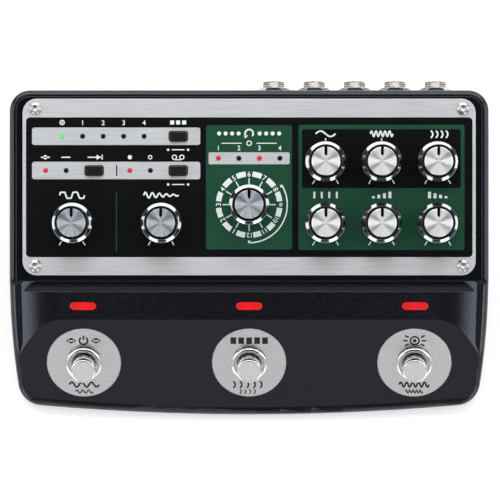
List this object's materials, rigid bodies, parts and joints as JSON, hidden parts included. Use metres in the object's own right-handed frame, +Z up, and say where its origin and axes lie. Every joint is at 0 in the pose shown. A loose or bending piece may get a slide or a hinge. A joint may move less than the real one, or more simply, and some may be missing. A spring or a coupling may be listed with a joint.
{
  "type": "delay pedal",
  "caption": "Wedge-shaped floor effect unit with a printed control plate, turning knobs, small push buttons, lights, footswitches and rear sockets.",
  "frame": {"origin": "on the table, under the middle of the object's bounding box", "axes": "+X to the player's right, +Y to the rear sockets, +Z up"},
  "size_m": [0.192, 0.1341, 0.0525],
  "materials": {
    "enamel": "dark blue-grey hammered powder coat",
    "cover_paint": "matt black",
    "steel_screw": "zinc plated",
    "nickel": "polished nickel",
    "rubber": "matt",
    "faceplate": "brushed, with a printed black and green face",
    "lamp_red": "translucent, lit",
    "led_red": "translucent",
    "led_green": "translucent, lit",
    "knob_chrome": "polished",
    "cap_aluminium": "spun",
    "shaft_metal": "machined",
    "button_black": "satin",
    "plunger_chrome": "polished",
    "spring_steel": "drawn wire",
    "collar_chrome": "polished",
    "plate_steel": "satin",
    "housing_black": "moulded",
    "jack_black": "moulded",
    "bush_nickel": "nickel plated",
    "board_green": "solder mask",
    "pot_steel": "tin plated",
    "ribbon_grey": "flexible"
  },
  "bodies": {
    "case": {"top_case": "enamel", "bottom_cover": "cover_paint", "case_screws": "steel_screw", "rubber_feet": "rubber", "control_plate": "faceplate", "plate_screws": "nickel", "status_lenses": "lamp_red", "red_leds": "led_red", "green_led": "led_green", "footswitch_housings": "housing_black", "footswitch_collars": "collar_chrome", "footswitch_plates": "plate_steel", "jack_bodies": "jack_black", "jack_bushes": "bush_nickel", "jack_nuts": "bush_nickel", "control_board": "board_green", "main_board": "board_green", "potentiometers": "pot_steel", "selector_switch": "pot_steel", "tact_switches": "jack_black", "dc_socket": "jack_black", "usb_socket": "bush_nickel", "mini_jacks": "jack_black", "ribbon_cable": "ribbon_grey", "left_footswitch_spring": "spring_steel", "centre_footswitch_spring": "spring_steel", "right_footswitch_spring": "spring_steel"},
    "saturation_control": {"saturation_knob": "knob_chrome", "saturation_knob_cap": "cap_aluminium", "saturation_shaft": "shaft_metal"},
    "flutter_control": {"flutter_knob": "knob_chrome", "flutter_knob_cap": "cap_aluminium", "flutter_shaft": "shaft_metal"},
    "mode_control": {"mode_knob": "knob_chrome", "mode_knob_cap": "cap_aluminium", "mode_shaft": "shaft_metal"},
    "bass_control": {"bass_knob": "knob_chrome", "bass_knob_cap": "cap_aluminium", "bass_shaft": "shaft_metal"},
    "treble_control": {"treble_knob": "knob_chrome", "treble_knob_cap": "cap_aluminium", "treble_shaft": "shaft_metal"},
    "reverb_control": {"reverb_knob": "knob_chrome", "reverb_knob_cap": "cap_aluminium", "reverb_shaft": "shaft_metal"},
    "rate_control": {"rate_knob": "knob_chrome", "rate_knob_cap": "cap_aluminium", "rate_shaft": "shaft_metal"},
    "intensity_control": {"intensity_knob": "knob_chrome", "intensity_knob_cap": "cap_aluminium", "intensity_shaft": "shaft_metal"},
    "echo_control": {"echo_knob": "knob_chrome", "echo_knob_cap": "cap_aluminium", "echo_shaft": "shaft_metal"},
    "memory_press": {"memory_button": "button_black"},
    "input_press": {"input_button": "button_black"},
    "tape_press": {"tape_button": "button_black"},
    "left_stomp": {"left_footswitch_plunger": "plunger_chrome"},
    "centre_stomp": {"centre_footswitch_plunger": "plunger_chrome"},
    "right_stomp": {"right_footswitch_plunger": "plunger_chrome"}
  },
  "joints": [
    {"name": "saturation_turn", "type": "hinge", "parent": "case", "child": "saturation_control", "pos_m": [-0.0708, 0.0086, 0.03864], "axis": [0, -0.061, 0.9981], "range_deg": [-150, 150]},
    {"name": "flutter_turn", "type": "hinge", "parent": "case", "child": "flutter_control", "pos_m": [-0.0352, 0.0086, 0.03864], "axis": [0, -0.061, 0.9981], "range_deg": [-150, 150]},
    {"name": "mode_turn", "type": "hinge", "parent": "case", "child": "mode_control", "pos_m": [0, 0.0159, 0.03909], "axis": [0, -0.061, 0.9981], "range_deg": [-180, 150]},
    {"name": "bass_turn", "type": "hinge", "parent": "case", "child": "bass_control", "pos_m": [0.03057, 0.03311, 0.04014], "axis": [0, -0.061, 0.9981], "range_deg": [-150, 150]},
    {"name": "treble_turn", "type": "hinge", "parent": "case", "child": "treble_control", "pos_m": [0.05301, 0.03311, 0.04014], "axis": [0, -0.061, 0.9981], "range_deg": [-150, 150]},
    {"name": "reverb_turn", "type": "hinge", "parent": "case", "child": "reverb_control", "pos_m": [0.07545, 0.03311, 0.04014], "axis": [0, -0.061, 0.9981], "range_deg": [-150, 150]},
    {"name": "rate_turn", "type": "hinge", "parent": "case", "child": "rate_control", "pos_m": [0.03057, 0.0086, 0.03864], "axis": [0, -0.061, 0.9981], "range_deg": [-150, 150]},
    {"name": "intensity_turn", "type": "hinge", "parent": "case", "child": "intensity_control", "pos_m": [0.05301, 0.0086, 0.03864], "axis": [0, -0.061, 0.9981], "range_deg": [-150, 150]},
    {"name": "echo_turn", "type": "hinge", "parent": "case", "child": "echo_control", "pos_m": [0.07545, 0.0086, 0.03864], "axis": [0, -0.061, 0.9981], "range_deg": [-150, 150]},
    {"name": "memory_push", "type": "slide", "parent": "case", "child": "memory_press", "axis": [0, 0.061, -0.9981], "range_m": [0, 0.0004], "stiffness_N_per_m": 1500, "springref_m": -0.0003},
    {"name": "input_push", "type": "slide", "parent": "case", "child": "input_press", "axis": [0, 0.061, -0.9981], "range_m": [0, 0.0004], "stiffness_N_per_m": 1500, "springref_m": -0.0003},
    {"name": "tape_push", "type": "slide", "parent": "case", "child": "tape_press", "axis": [0, 0.061, -0.9981], "range_m": [0, 0.0004], "stiffness_N_per_m": 1500, "springref_m": -0.0003},
    {"name": "left_stomp_push", "type": "slide", "parent": "case", "child": "left_stomp", "axis": [0, 0.4442, -0.8959], "range_m": [0, 0.002], "stiffness_N_per_m": 4000, "springref_m": -0.0005, "deforming": ["left_footswitch_spring"]},
    {"name": "centre_stomp_push", "type": "slide", "parent": "case", "child": "centre_stomp", "axis": [0, 0.4442, -0.8959], "range_m": [0, 0.002], "stiffness_N_per_m": 4000, "springref_m": -0.0005, "deforming": ["centre_footswitch_spring"]},
    {"name": "right_stomp_push", "type": "slide", "parent": "case", "child": "right_stomp", "axis": [0, 0.4442, -0.8959], "range_m": [0, 0.002], "stiffness_N_per_m": 4000, "springref_m": -0.0005, "deforming": ["right_footswitch_spring"]}
  ]
}
